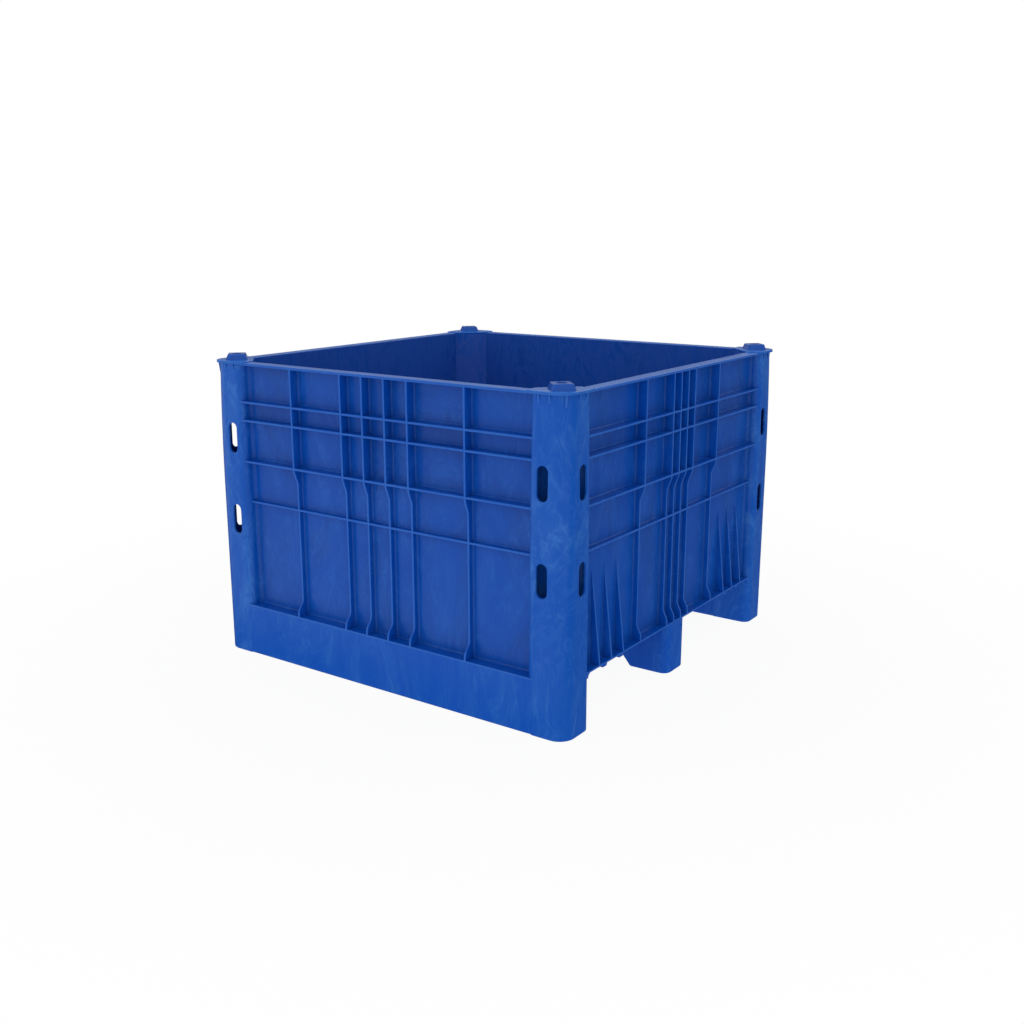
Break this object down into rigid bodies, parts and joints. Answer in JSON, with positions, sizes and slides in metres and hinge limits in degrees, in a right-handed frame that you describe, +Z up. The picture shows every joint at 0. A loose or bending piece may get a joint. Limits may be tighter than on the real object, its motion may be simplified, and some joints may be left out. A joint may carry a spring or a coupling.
{
  "type": "bulk container",
  "caption": "Square open-topped plastic bulk container with ribbed walls, hollow slotted corner posts, stacking lugs, runners and fork openings, for harvested fruit.",
  "frame": {"origin": "centre of the footprint, on the floor", "axes": "+Z up; -Y is the front, with a closed runner; +X and -X are the fork sides"},
  "size_m": [1.2, 1.2, 0.8733],
  "materials": {
    "walls": "moulded blue, with faint swirl marks",
    "posts": "moulded blue, with faint swirl marks",
    "caps": "moulded blue, with faint swirl marks",
    "lugs": "moulded blue, with faint swirl marks",
    "deck": "moulded blue, with faint swirl marks",
    "base": "moulded blue, with faint swirl marks"
  },
  "bodies": {
    "root": {"corner_post_rear_right": "posts", "corner_post_rear_left": "posts", "corner_post_front_left": "posts", "corner_post_front_right": "posts", "corner_cap_rear_right": "caps", "corner_cap_rear_left": "caps", "corner_cap_front_left": "caps", "corner_cap_front_right": "caps", "stacking_lug_rear_right": "lugs", "stacking_lug_rear_left": "lugs", "stacking_lug_front_left": "lugs", "stacking_lug_front_right": "lugs", "front_wall": "walls", "rear_wall": "walls", "left_wall": "walls", "right_wall": "walls", "floor_deck": "deck", "front_runner": "base", "rear_runner": "base", "left_centre_foot": "base", "right_centre_foot": "base"}
  },
  "joints": []
}
